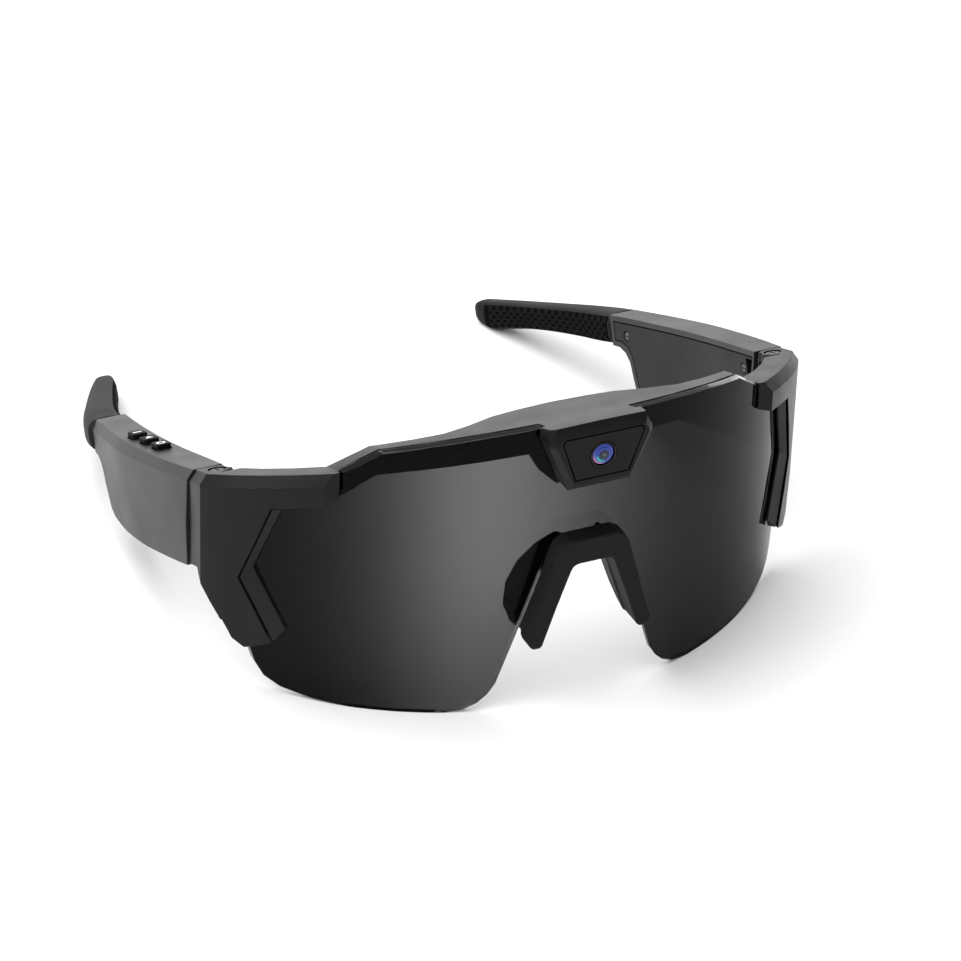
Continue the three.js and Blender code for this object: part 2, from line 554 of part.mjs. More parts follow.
// ---------------------------------------------------------------- inside the temples
const battery = (y0, y1) => prismX([[y0 + 0.8, -21.6], [y1 - 0.8, -21.6], [y1, -20.8], [y1, -8.6],
  [y1 - 0.8, -7.8], [y0 + 0.8, -7.8], [y0, -8.6], [y0, -20.8]], 72.7, 76.6);
const mainBoard = () => box([73.4, 51.5, -20.5], [74.2, 67, -8.8]);
const keyBoard = () => box([72.9, 29.5, -6.2], [76.5, 57.5, -5.4]);
const chargeBoard = () => box([73.2, 50, -20.5], [74, 66, -8.8]);
const cardHolder = () => box([74.5, 53, -19], [76, 65, -11]);
const touchSwitch = (y) => unite(
  solid(box([BUTTON.x - 1.6, y - 1.6, -5.1], [BUTTON.x + 1.6, y + 1.6, -3.6])),
  solid(postZ(BUTTON.x, y, -3.8, -3.1, 0.8, 0.8, 12)));

function socketShape(grow, from, to) {
  const x = along(TEMPLE_PLAN, 58, 1);
  const [half, high, corner] = [4.2 + grow, 1.3 + grow, 0.8];
  const outline = [[-half + corner, -high], [half - corner, -high], [half, -high + corner],
    [half, high - corner], [half - corner, high], [-half + corner, high], [-half, high - corner],
    [-half, -high + corner]].map(([y, z]) => [58 + y, -14.5 + z]);
  return prismX(outline, x + from, x + to);
}

const socket = () => cut(solid(socketShape(0, 0.4, 3.3)), solid(socketShape(-0.5, 0, 2.6)));

// ---------------------------------------------------------------- buttons
function buttonShaft(y, grow, z0, z1) {
  const [half, reach, corner] = [BUTTON.wide / 2 + grow, BUTTON.long / 2 + grow, 0.8];
  const outline = [[-half + corner, -reach], [half - corner, -reach], [half, -reach + corner],
    [half, reach - corner], [half - corner, reach], [-half + corner, reach], [-half, reach - corner],
    [-half, -reach + corner]].map(([dx, dy]) => [BUTTON.x + dx, y + dy]);
  return prismZ(outline, z0, z1);
}

const button = (y) => buttonShaft(y, 0, -BUTTON.stem, BUTTON.proud);

// ---------------------------------------------------------------- assembly
const glasses = new THREE.Group();
const front = new THREE.Group();
front.position.set(0, -MIDDLE_Y, 0);
const arms = new THREE.Group();
arms.rotation.x = -SLOPE;
arms.position.set(0, -MIDDLE_Y, HINGE.z);
glasses.add(front, arms);

function put(group, name, shape, finish) {
  const geometry = shape.isBufferGeometry ? shape : geometryOf(shape);
  const mesh = new THREE.Mesh(geometry, new THREE.MeshStandardMaterial(finish));
  mesh.name = name;
  group.add(mesh);
}

const mirrorShape = (shape) => {
  const geometry = shape.isBufferGeometry ? shape : geometryOf(shape);
  return mirrored(geometry.index ? geometry : mergeVertices(geometry));
};

put(front, 'front_frame', frontFrame(), MATT_BLACK);
put(front, 'shield_lens', shieldLens(), LENS_GREY);
put(front, 'chevron_left', chevron(), SATIN_BLACK);
put(front, 'chevron_right', mirrorShape(chevron()), SATIN_BLACK);
put(front, 'camera_face_plate', facePlate(), SATIN_BLACK);
put(front, 'camera_barrel', lensBarrel(), GLOSS_BLACK);
put(front, 'camera_front_glass', frontGlass(), BLUE_GLASS);
put(front, 'camera_sensor', sensorHolder(), GLOSS_BLACK);
put(front, 'camera_board', sensorBoard(), BOARD_GREEN);
put(front, 'camera_ribbon', cameraRibbon(), AMBER);
put(front, 'camera_rear_housing', rearHousing(), MATT_BLACK);
put(front, 'nose_piece', nosePiece(), RUBBER);

// Each side is drawn on the wearer's left (+X) and mirrored for the right.
const SIDES = [
  { side: 'left', place: (shape) => shape, buttons: false },
  { side: 'right', place: mirrorShape, buttons: true },
];
for (const { side, place, buttons } of SIDES) {
  put(arms, `hinge_screw_${side}`, place(hingeScrew()), STEEL);
  put(arms, `temple_case_${side}`, place(templeCase(buttons)), SATIN_BLACK);
  put(arms, `temple_cover_${side}`, place(templeCover(buttons)), MATT_BLACK);
  put(arms, `temple_hinge_${side}`, place(hingeLeaf()), STEEL);
  put(arms, `ear_tip_${side}`, place(earTip()), RUBBER);
  put(arms, `battery_${side}`, place(battery(20, buttons ? 49 : 47)), FOIL);
  SCREW_PLACES.forEach((spot, i) => {
    put(arms, `cover_screw_${side}_${i + 1}`, place(coverScrew(spot)), STEEL);
  });
}
put(arms, 'charge_board_left', chargeBoard(), BOARD_GREEN);
put(arms, 'main_board_right', mirrorShape(mainBoard()), BOARD_GREEN);
put(arms, 'key_board_right', mirrorShape(keyBoard()), BOARD_GREEN);
put(arms, 'card_holder_right', mirrorShape(cardHolder()), FOIL);
put(arms, 'charge_socket_right', mirrorShape(socket()), FOIL);
['front', 'middle', 'rear'].forEach((name, i) => {
  put(arms, `button_${name}`, mirrorShape(button(BUTTON.ys[i])), GLOSS_BLACK);
  put(arms, `key_switch_${name}`, mirrorShape(touchSwitch(BUTTON.ys[i])), FOIL);
});

export default glasses;
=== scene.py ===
# %% [markdown]
# # Wraparound smart glasses
# The CAD part fixes every size and every joint. This lesson loads it, gives each hard piece
# rounded edges, models the soft and small pieces again in more detail, and paints them all.
# Lengths are in metres. +Z is up, the glasses look along -Y, and +X is the wearer's left.

import json
import math

import bmesh
import bpy
import numpy as np
from mathutils import Matrix, Vector


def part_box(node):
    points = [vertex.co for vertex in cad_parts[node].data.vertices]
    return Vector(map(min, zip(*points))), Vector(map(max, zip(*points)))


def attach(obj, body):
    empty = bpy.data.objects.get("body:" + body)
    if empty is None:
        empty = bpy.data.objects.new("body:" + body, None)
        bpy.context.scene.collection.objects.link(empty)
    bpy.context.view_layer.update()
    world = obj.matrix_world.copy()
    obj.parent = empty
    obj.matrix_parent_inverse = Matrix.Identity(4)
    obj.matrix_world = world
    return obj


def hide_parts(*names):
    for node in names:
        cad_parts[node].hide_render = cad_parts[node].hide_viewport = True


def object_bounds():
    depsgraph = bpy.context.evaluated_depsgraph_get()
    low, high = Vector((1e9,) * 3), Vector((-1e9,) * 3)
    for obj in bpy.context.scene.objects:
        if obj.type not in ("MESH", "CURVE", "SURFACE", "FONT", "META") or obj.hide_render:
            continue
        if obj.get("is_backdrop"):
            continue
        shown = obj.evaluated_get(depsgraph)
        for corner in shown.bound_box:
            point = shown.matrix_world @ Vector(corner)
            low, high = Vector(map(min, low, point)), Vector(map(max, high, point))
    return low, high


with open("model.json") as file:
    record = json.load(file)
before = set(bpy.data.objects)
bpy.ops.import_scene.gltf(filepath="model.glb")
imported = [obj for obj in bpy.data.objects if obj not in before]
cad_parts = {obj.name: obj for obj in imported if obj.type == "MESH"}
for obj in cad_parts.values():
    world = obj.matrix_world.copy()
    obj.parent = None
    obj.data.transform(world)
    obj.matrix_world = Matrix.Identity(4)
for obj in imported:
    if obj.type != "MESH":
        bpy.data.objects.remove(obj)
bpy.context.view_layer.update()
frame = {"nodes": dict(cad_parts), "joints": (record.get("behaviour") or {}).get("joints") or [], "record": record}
nodes = frame["nodes"]
MM = 0.001

# %% [markdown]
# The temples lean: their own axes start at the hinge screw and tilt back with the screw.
# Drawing a temple in those axes keeps its numbers simple, so the first helper turns a point
# of the temple's axes into a point of the frame. The hinge joint in the record gives both
# the place and the tilt, so nothing is measured twice.

# %% The temples' own axes
left_joint = next(j for j in frame["joints"] if j["name"] == "fold_left")
HINGE = Vector(left_joint["pos_m"])
SLOPE = math.atan2(left_joint["axis"][1], left_joint["axis"][2])
TEMPLE_AXES = Matrix.Translation((0, HINGE.y, HINGE.z)) @ Matrix.Rotation(-SLOPE, 4, "X")


def temple_point(x, y, z):
    """A point given in millimetres in the temple's axes, as metres in the frame."""
    return TEMPLE_AXES @ Vector((x * MM, y * MM, z * MM))


print("temple slope in degrees:", round(math.degrees(SLOPE), 1))

# %% [markdown]
# The camera comes first, so every later step can be judged in the same picture. It stands
# in front, to the wearer's right and above, a little over a metre away with a long lens,
# and it is rolled by two degrees.

# %% Camera
VIEW_FROM = dict(azimuth=-25.653, elevation=31.860, roll=1.991, distance=1.086)
AIM = Vector((0.003802, -0.018452, 0.022501))
FOCAL_MM, SENSOR_MM = 164.83, 36.0


def look(azimuth, elevation, roll, distance, aim):
    """Camera matrix for a camera that orbits the aim point; azimuth 0 looks along +Y."""
    a, e, r = (math.radians(v) for v in (azimuth, elevation, roll))
    back = Vector((math.sin(a) * math.cos(e), -math.cos(a) * math.cos(e), math.sin(e)))
    level = Vector((0, 0, 1)).cross(back).normalized()
    up = back.cross(level)
    right = level * math.cos(r) + up * math.sin(r)
    axes = Matrix((right, back.cross(right), back)).transposed().to_4x4()
    return Matrix.Translation(aim + back * distance) @ axes


camera = bpy.data.objects.new("camera", bpy.data.cameras.new("camera"))
bpy.context.scene.collection.objects.link(camera)
camera.matrix_world = look(aim=AIM, **VIEW_FROM)
camera.data.lens, camera.data.sensor_width = FOCAL_MM, SENSOR_MM
camera.data.clip_start, camera.data.clip_end = 0.05, 60
bpy.context.scene.camera = camera
print("camera stands at", [round(v, 3) for v in camera.location])

# %% [markdown]
# The glasses stand on a plain white table in soft light. A large panel overhead makes the
# light grey sheen on the upward faces. A low wide panel behind puts a line of light along the
# top edges and brightens the slopes that lean back, a small one fills in from the wearer's
# right, and the world adds an even glow. Area lamps suit this, because a large soft shape
# reflects in satin plastic as a broad highlight. The table and its white paint are only
# staging, so they aren't part of the object.


# %% Lights
def area_light(name, place, aim, width, height, watts):
    """A soft rectangular lamp at a place, pointed at the aim."""
    data = bpy.data.lights.new(name, "AREA")
    data.shape, data.size, data.size_y, data.energy = "RECTANGLE", width, height, watts
    lamp = bpy.data.objects.new(name, data)
    bpy.context.scene.collection.objects.link(lamp)
    lamp.location = place
    lamp.rotation_euler = (Vector(aim) - Vector(place)).to_track_quat("-Z", "Y").to_euler()


LIT_POINT = (0, 0, 0.03)
area_light("overhead_panel", (-0.35, 0.15, 1.45), LIT_POINT, width=2.4, height=2.0, watts=42)
area_light("side_panel", (-1.4, 0.1, 0.75), LIT_POINT, width=0.9, height=0.9, watts=8)
area_light("back_panel", (0.1, 2.2, 0.40), LIT_POINT, width=4.8, height=0.9, watts=23)
WORLD_GLOW = 0.38
world = bpy.data.worlds.new("studio")
world.use_nodes = True
sky = world.node_tree.nodes["Background"]
sky.inputs["Color"].default_value = (1, 1, 1, 1)
sky.inputs["Strength"].default_value = WORLD_GLOW
bpy.context.scene.world = world
bpy.context.scene.view_settings.view_transform = "Standard"

# %% Table
TABLE_HALF = 4.0
TABLE_GREY, TABLE_ROUGHNESS = 0.9, 0.8
table_mesh = bpy.data.meshes.new("table")
corners = [(-1, -1), (1, -1), (1, 1), (-1, 1)]
table_mesh.from_pydata([(x * TABLE_HALF, y * TABLE_HALF, 0) for x, y in corners], [],
                       [(0, 1, 2, 3)])
table = bpy.data.objects.new("table", table_mesh)
bpy.context.scene.collection.objects.link(table)
table_white = bpy.data.materials.new("white_table")
table_white.use_nodes = True
table_shader = table_white.node_tree.nodes["Principled BSDF"]
table_shader.inputs["Base Color"].default_value = (TABLE_GREY, TABLE_GREY, TABLE_GREY, 1)
table_shader.inputs["Roughness"].default_value = TABLE_ROUGHNESS
table_mesh.materials.append(table_white)
table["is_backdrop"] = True
print("table:", 2 * TABLE_HALF, "m square")

# %% [markdown]
# ## Finishes
# Every moulded piece has the same kind of finish: one dark colour, a fine grain from the
# mould, slow changes in gloss from handling, and edges that are rubbed a little lighter.
# One builder makes them all from noise in object coordinates, so the grain stays on the
# piece when a temple folds. Values that are the same all over go straight on the shader.


# %% Shader helpers
def node_after(tree, kind, link=None, into=0, **settings):
    """Adds a shader node, sets its properties, and links one output into one input."""
    made = tree.nodes.new(kind)
    for key, value in settings.items():
        setattr(made, key, value)
    if link is not None:
        tree.links.new(link, made.inputs[into])
    return made


def ramp_between(tree, factor, stops):
    """A colour ramp with the given (position, grey or colour) stops."""
    ramp = node_after(tree, "ShaderNodeValToRGB", factor)
    ramp.color_ramp.elements[0].position = stops[0][0]
    ramp.color_ramp.elements[1].position = stops[-1][0]
    for position, _ in stops[1:-1]:
        ramp.color_ramp.elements.new(position)
    for element, (_, colour) in zip(ramp.color_ramp.elements, stops):
        element.color = (*((colour,) * 3 if isinstance(colour, float) else colour), 1)
    return ramp


def noise_at(tree, size_mm, detail=2.0, stretch=(1, 1, 1)):
    """Noise in object coordinates, with features of about the given size."""
    where = node_after(tree, "ShaderNodeTexCoord")
    mapping = node_after(tree, "ShaderNodeMapping", where.outputs["Object"])
    mapping.inputs["Scale"].default_value = stretch
    noise = node_after(tree, "ShaderNodeTexNoise", mapping.outputs["Vector"])
    noise.inputs["Scale"].default_value = 1 / (size_mm * MM)
    noise.inputs["Detail"].default_value = detail
    return noise.outputs["Fac"]


# %% Finish builder
PATCH_MM = 14               # size of the slow changes in colour and gloss
DARKER, LIGHTER = 0.86, 1.12
DULLER, GLOSSIER = 0.06, 0.05
EDGE_STARTS, EDGE_FULL = 0.53, 0.62
RUBBED_DUST = 0.004         # grey that a rubbed edge gains whatever its colour
GRAIN_DEPTH_MM = 0.05
COAT_ROUGHNESS = 0.08


def moulded(name, colour, rough, grain_mm=0.35, bump=0.25, rub=1.9, coat=0.0, metallic=0.0,
            stretch=(1, 1, 1), specular=0.2):
    """Moulded, painted or metal finish with grain, uneven gloss and rubbed edges."""
    made = bpy.data.materials.new(name)
    made.use_nodes = True
    tree = made.node_tree
    shader = tree.nodes["Principled BSDF"]
    shader.inputs["Metallic"].default_value = metallic
    shader.inputs["Specular IOR Level"].default_value = specular
    shader.inputs["Coat Weight"].default_value = coat
    shader.inputs["Coat Roughness"].default_value = COAT_ROUGHNESS
    slow, fine = noise_at(tree, PATCH_MM, 3), noise_at(tree, grain_mm, 2, stretch)
    tint = ramp_between(tree, slow, [(0.3, tuple(c * DARKER for c in colour)),
                                     (0.7, tuple(c * LIGHTER for c in colour))])
    edge = node_after(tree, "ShaderNodeNewGeometry")
    worn = ramp_between(tree, edge.outputs["Pointiness"], [(EDGE_STARTS, 0.0), (EDGE_FULL, 1.0)])
    mix = node_after(tree, "ShaderNodeMix", data_type="RGBA")
    tree.links.new(worn.outputs["Color"], mix.inputs["Factor"])
    tree.links.new(tint.outputs["Color"], mix.inputs["A"])
    mix.inputs["B"].default_value = (*(min(1, c * rub + RUBBED_DUST) for c in colour), 1)
    tree.links.new(mix.outputs["Result"], shader.inputs["Base Color"])
    gloss = ramp_between(tree, slow, [(0.25, rough - GLOSSIER), (0.75, rough + DULLER)])
    tree.links.new(gloss.outputs["Color"], shader.inputs["Roughness"])
    bumped = node_after(tree, "ShaderNodeBump", fine, "Height")
    bumped.inputs["Strength"].default_value = bump
    bumped.inputs["Distance"].default_value = GRAIN_DEPTH_MM * MM
    tree.links.new(bumped.outputs["Normal"], shader.inputs["Normal"])
    return made


# %% Plastic, rubber and metal finishes
FINISH = {
    "frame_plastic": moulded("moulded_matt_black", (0.0045, 0.0045, 0.0048), 0.36, 0.3, 0.18,
                             specular=0.13),
    "temple_plastic": moulded("satin_charcoal_paint", (0.014, 0.014, 0.0145), 0.40, 0.28, 0.18),
    "cover_plastic": moulded("matt_black_cover", (0.008, 0.008, 0.008), 0.52, 0.45, 0.35,
                             specular=0.16),
    "trim_plastic": moulded("satin_trim", (0.008, 0.008, 0.0085), 0.34, 0.3, 0.14, specular=0.16),
    "plate_plastic": moulded("camera_plate_black", (0.004, 0.004, 0.0042), 0.34, 0.3, 0.16,
                             specular=0.11),
    "gloss_black": moulded("polished_black", (0.003, 0.003, 0.0035), 0.14, 0.6, 0.05, coat=0.2),
    "key_plastic": moulded("key_black", (0.002, 0.002, 0.0022), 0.5, 0.3, 0.12, specular=0.05),
    "nose_rubber": moulded("nose_silicone", (0.006, 0.006, 0.006), 0.62, 0.22, 0.3, rub=1.4,
                           specular=0.14),
    "tip_rubber": moulded("tip_rubber", (0.0065, 0.0065, 0.0065), 0.6, 0.25, 0.35, rub=1.4,
                          specular=0.15),
    "grip_rubber": moulded("grip_black_rubber", (0.0012, 0.0012, 0.0012), 0.75, 0.25, 0.3, rub=2.0,
                           specular=0.035),
    "dark_steel": moulded("blackened_steel", (0.06, 0.06, 0.063), 0.36, 0.12, 0.3, rub=3.0,
                          metallic=1.0, stretch=(1, 1, 9)),
    "circuit_board": moulded("solder_mask", (0.012, 0.07, 0.03), 0.4, 0.5, 0.2, coat=0.4),
    "ribbon": moulded("amber_film", (0.36, 0.15, 0.02), 0.35, 0.8, 0.1, coat=0.3),
    "cell_foil": moulded("cell_foil", (0.45, 0.46, 0.47), 0.38, 0.5, 0.35, metallic=1.0),
    "tin_plate": moulded("tin_plate", (0.5, 0.5, 0.49), 0.32, 0.4, 0.15, metallic=1.0),
}
white_paint = moulded("white_key_mark", (0.78, 0.78, 0.76), 0.5, 0.2, 0.1, rub=1.1)
print("finishes:", len(FINISH) + 1)

# %% [markdown]
# The lens is one dark polycarbonate shield with a light mirror coating. It lets a little light through, so what
# stands behind it shows as darker shapes. Its colour is a ramp along X on a transmitting shader. The ramp is dark
# at the two ends and lighter a little to the wearer's right of the middle. That lighter middle is painted
# reflection, standing in for studio light mirrored in the lens, laid over the shield's real dark tint. The ramp is
# the base colour, because light takes that colour on its way through.
# The cut edge along the top isn't polished, so it catches more light than the faces: a coat
# is put only where the surface points up, which is the lens edge and nothing else.


# %% Lens finish
LENS_HALF_WIDTH = 0.074
# Painted reflection: lighter a little to the wearer's right of the middle, standing in for studio light mirrored
# in the lens, over the real dark tint
LENS_TINT_AND_PAINTED_GLOW = [(0.0, 0.003), (0.10, 0.007), (0.19, 0.028), (0.27, 0.085), (0.34, 0.122),
             (0.42, 0.096), (0.52, 0.048), (0.66, 0.015), (0.80, 0.006), (1.0, 0.003)]
LENS_IOR, EDGE_COAT_ROUGHNESS = 1.14, 0.12
EDGE_TURNS_UP, EDGE_FACES_UP = 0.55, 0.8
SMEAR_MM = 9


def lens_finish():
    """Dark tinted, transmitting, polished shield whose base colour also holds a painted reflection."""
    made = bpy.data.materials.new("dark_shield_painted_glow")
    made.use_nodes = True
    tree = made.node_tree
    shader = tree.nodes["Principled BSDF"]
    shader.inputs["Transmission Weight"].default_value = 1.0
    shader.inputs["IOR"].default_value = LENS_IOR
    shader.inputs["Coat Roughness"].default_value = EDGE_COAT_ROUGHNESS
    where = node_after(tree, "ShaderNodeTexCoord")
    split = node_after(tree, "ShaderNodeSeparateXYZ", where.outputs["Object"])
    across = node_after(tree, "ShaderNodeMapRange", split.outputs["X"])
    across.inputs["From Min"].default_value = -LENS_HALF_WIDTH
    across.inputs["From Max"].default_value = LENS_HALF_WIDTH
    # the ramp along X is the shield's dark tint with a painted reflection in its middle
    tint = ramp_between(tree, across.outputs["Result"], LENS_TINT_AND_PAINTED_GLOW)
    tint.color_ramp.interpolation = "B_SPLINE"
    tree.links.new(tint.outputs["Color"], shader.inputs["Base Color"])
    smear = ramp_between(tree, noise_at(tree, SMEAR_MM, 3), [(0.35, 0.012), (0.8, 0.035)])
    tree.links.new(smear.outputs["Color"], shader.inputs["Roughness"])
    facing = node_after(tree, "ShaderNodeNewGeometry")
    upright = node_after(tree, "ShaderNodeSeparateXYZ", facing.outputs["Normal"])
    cut_edge = ramp_between(tree, upright.outputs["Z"],
                            [(EDGE_TURNS_UP, 0.0), (EDGE_FACES_UP, 1.0)])
    tree.links.new(cut_edge.outputs["Color"], shader.inputs["Coat Weight"])
    return made


FINISH["dark_lens"] = lens_finish()
print("lens finish:", FINISH["dark_lens"].name)

# %% [markdown]
# The camera's front glass is a small dome with a blue and violet coating. Its base colour is a painted reflection:
# rings of colour follow its radius, standing in for the inner lens elements mirrored in the coating, with a light
# point at the middle, so the ramp runs on the distance from the lens axis. A teal and pink sheen on one side is a
# painted reflection too, so a second ramp of rings takes over in a wedge towards that side. The wedge is a
# direction on the glass, so it stays on it.

# %% Camera glass finish
glass_low, glass_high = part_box("camera_front_glass")
GLASS_AXIS = (glass_low + glass_high) / 2
GLASS_RADIUS_MM = 2.75
GLASS_IOR, GLASS_SPECULAR, HAZE_MM = 1.5, 0.35, 1.5
PAINTED_SHEEN_TOWARDS = Vector((-0.66, 0, -0.75))
PAINTED_SHEEN_STARTS, PAINTED_SHEEN_FULL = 0.55, 0.95
# Painted reflection: rings standing in for the inner lens elements mirrored in the coating, with a light point at
# the middle
PAINTED_INNER_REFLECTIONS = [(0.0, (0.25, 0.25, 0.30)), (0.07, (0.002, 0.002, 0.006)), (0.17, (0.10, 0.11, 0.16)),
         (0.22, (0.002, 0.003, 0.010)), (0.45, (0.004, 0.012, 0.07)), (0.58, (0.02, 0.06, 0.42)),
         (0.72, (0.01, 0.02, 0.14)), (0.86, (0.07, 0.12, 0.60)), (1.0, (0.02, 0.02, 0.06))]
# Painted sheen: a teal and pink reflection on one side of the dome
PAINTED_SHEEN = [(0.0, (0.25, 0.25, 0.30)), (0.12, (0.002, 0.002, 0.006)), (0.4, (0.004, 0.03, 0.06)),
         (0.62, (0.05, 0.45, 0.50)), (0.74, (0.03, 0.06, 0.20)), (0.88, (0.65, 0.28, 0.62)),
         (1.0, (0.05, 0.02, 0.06))]


def glass_with_painted_reflections():
    """Polished dome whose base colour is a painted reflection: rings from the middle to the rim and a sheen on one
    side.
    """
    made = bpy.data.materials.new("glass_with_painted_reflections")
    made.use_nodes = True
    tree = made.node_tree
    shader = tree.nodes["Principled BSDF"]
    shader.inputs["IOR"].default_value = GLASS_IOR
    shader.inputs["Specular IOR Level"].default_value = GLASS_SPECULAR
    where = node_after(tree, "ShaderNodeTexCoord")
    shift = node_after(tree, "ShaderNodeVectorMath", where.outputs["Object"], operation="SUBTRACT")
    shift.inputs[1].default_value = GLASS_AXIS
    flat = node_after(tree, "ShaderNodeVectorMath", shift.outputs["Vector"], operation="MULTIPLY")
    flat.inputs[1].default_value = (1, 0, 1)
    radius = node_after(tree, "ShaderNodeVectorMath", flat.outputs["Vector"], operation="LENGTH")
    share = node_after(tree, "ShaderNodeMapRange", radius.outputs["Value"])
    share.inputs["From Max"].default_value = GLASS_RADIUS_MM * MM
    # both ramps are painted reflection put into the base colour
    rings = ramp_between(tree, share.outputs["Result"], PAINTED_INNER_REFLECTIONS)
    painted_sheen = ramp_between(tree, share.outputs["Result"], PAINTED_SHEEN)
    sweep = node_after(tree, "ShaderNodeVectorMath", flat.outputs["Vector"], operation="NORMALIZE")
    side = node_after(tree, "ShaderNodeVectorMath", sweep.outputs["Vector"],
                      operation="DOT_PRODUCT")
    side.inputs[1].default_value = PAINTED_SHEEN_TOWARDS
    share_of_painted_sheen = ramp_between(tree, side.outputs["Value"],
                                  [(PAINTED_SHEEN_STARTS, 0.0), (PAINTED_SHEEN_FULL, 1.0)])
    painted_reflections = node_after(tree, "ShaderNodeMix", data_type="RGBA")
    tree.links.new(share_of_painted_sheen.outputs["Color"], painted_reflections.inputs["Factor"])
    tree.links.new(rings.outputs["Color"], painted_reflections.inputs["A"])
    tree.links.new(painted_sheen.outputs["Color"], painted_reflections.inputs["B"])
    tree.links.new(painted_reflections.outputs["Result"], shader.inputs["Base Color"])
    haze = ramp_between(tree, noise_at(tree, HAZE_MM, 3), [(0.3, 0.02), (0.8, 0.05)])
    tree.links.new(haze.outputs["Color"], shader.inputs["Roughness"])
    return made


FINISH["camera_glass"] = glass_with_painted_reflections()
print("camera glass finish:", FINISH["camera_glass"].name)

# %% [markdown]
# ## From CAD to a piece worth looking at
# Real mouldings have no knife edges: every corner has a radius that catches a line of
# light. The CAD solids are sharp, so this helper copies a node, merges its loose triangles,
# dissolves the flat ones into whole faces, and bevels each corner. The copy takes the
# node's place, and the node stays hidden for the physics.

# %% Helpers that finish a piece
SLOT_OF = {part["node"]: part["material_slot"] for part in frame["record"]["subparts"]}
BODY_OF = {name: body for body, names in frame["record"]["behaviour"]["bodies"].items()
           for name in names}
MERGE = 0.004 * MM


def finish_piece(name, mesh, body, slot, stands_for=(), material=None):
    """Links a mesh as a piece that rides on a body, with its slot, its finish and its node."""
    piece = bpy.data.objects.new(name, mesh)
    bpy.context.scene.collection.objects.link(piece)
    mesh.materials.clear()
    mesh.materials.append(material or FINISH[slot])
    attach(piece, body)
    if stands_for:
        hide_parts(*stands_for)
    return piece


def baked(obj):
    """The object with its modifiers applied, as a new mesh. The object itself is removed."""
    evaluated = obj.evaluated_get(bpy.context.evaluated_depsgraph_get())
    mesh = bpy.data.meshes.new_from_object(evaluated)
    bpy.data.objects.remove(obj)
    return mesh


FLAT_DEGREES, CORNER_DEGREES = 0.4, 26.0
BEVEL_STEPS = 2


def rounded_copy(node, width_mm):
    """Bevelled and smooth-shaded copy of a CAD node, which it replaces."""
    work = bmesh.new()
    work.from_mesh(nodes[node].data)
    bmesh.ops.remove_doubles(work, verts=work.verts, dist=MERGE)
    bmesh.ops.dissolve_limit(work, angle_limit=math.radians(FLAT_DEGREES), verts=work.verts,
                             edges=work.edges)
    sharp = [e for e in work.edges if len(e.link_faces) == 2
             and e.calc_face_angle(0) > math.radians(CORNER_DEGREES)]
    bmesh.ops.bevel(work, geom=sharp, offset=width_mm * MM, segments=BEVEL_STEPS, profile=0.5,
                    affect="EDGES", clamp_overlap=False, loop_slide=False)
    bmesh.ops.remove_doubles(work, verts=work.verts, dist=MERGE)
    for face in work.faces:
        face.smooth = True
    mesh = bpy.data.meshes.new(node + "_rounded")
    work.to_mesh(mesh)
    work.free()
    piece = finish_piece(node + "_rounded", mesh, BODY_OF[node], SLOT_OF[node], [node])
    weigh = piece.modifiers.new("even_shading", "WEIGHTED_NORMAL")
    weigh.keep_sharp = True
    return piece


# %% Round the hard pieces
ROUNDING_MM = {
    "front_frame": 0.14, "shield_lens": 0.15, "chevron_left": 0.12, "chevron_right": 0.12,
    "camera_face_plate": 0.1, "camera_rear_housing": 0.3,
    "temple_case_left": 0.15, "temple_case_right": 0.15, "temple_cover_left": 0.12,
    "temple_cover_right": 0.12,
}
for node, width in ROUNDING_MM.items():
    made = rounded_copy(node, width)
    print(made.name, len(made.data.polygons), "faces")

# %% [markdown]
# ## Nose piece
# The nose piece is one soft silicone part, so it has no sharp corners at all. A bevel
# leaves creases where its band, wall and pads meet. A voxel remesh melts the three into one
# skin of small even faces instead, and a few passes of smoothing round every edge.

# %% Nose piece
NOSE_VOXEL = 0.3 * MM
NOSE_SMOOTHING = 6
work = bmesh.new()
work.from_mesh(nodes["nose_piece"].data)
bmesh.ops.remove_doubles(work, verts=work.verts, dist=MERGE)
mesh = bpy.data.meshes.new("nose_source")
work.to_mesh(mesh)
work.free()
source = bpy.data.objects.new("nose_source", mesh)
bpy.context.scene.collection.objects.link(source)
melt = source.modifiers.new("melt", "REMESH")
melt.mode, melt.voxel_size, melt.use_smooth_shade = "VOXEL", NOSE_VOXEL, True
soften = source.modifiers.new("soften", "SMOOTH")
soften.factor, soften.iterations = 0.5, NOSE_SMOOTHING
nose = finish_piece("nose_piece_soft", baked(source), "front", "nose_rubber", ["nose_piece"])
print(nose.name, len(nose.data.polygons), "faces")

# %% [markdown]
# ## Ear tips
# The tips are soft rubber sleeves, square where they meet the temple and rounded at the
# end, with a fine moulding line along the outside and a shallow groove at the joint with the
# temple, which reads as a dark line. Each is one skin through many rounded rings, drawn in
# the temple's axes. Mesh code suits it, because the ring's width, height and place change
# smoothly along a table of a few rows.


# %% Skins through rings
def along(rows, t, column):
    """Value at t in a table of (t, value, ...) rows, smoothly joined."""
    i = max(0, max((k for k in range(len(rows) - 1) if rows[k][0] <= t), default=0))
    here, there = rows[i], rows[i + 1]
    before, after = rows[max(0, i - 1)], rows[min(len(rows) - 1, i + 2)]
    span = there[0] - here[0]
    u = (t - here[0]) / span
    into = (there[column] - before[column]) / (there[0] - before[0]) * span
    out = (after[column] - here[column]) / (after[0] - here[0]) * span
    return ((2 * u**3 - 3 * u**2 + 1) * here[column] + (u**3 - 2 * u**2 + u) * into
            + (3 * u**2 - 2 * u**3) * there[column] + (u**3 - u**2) * out)


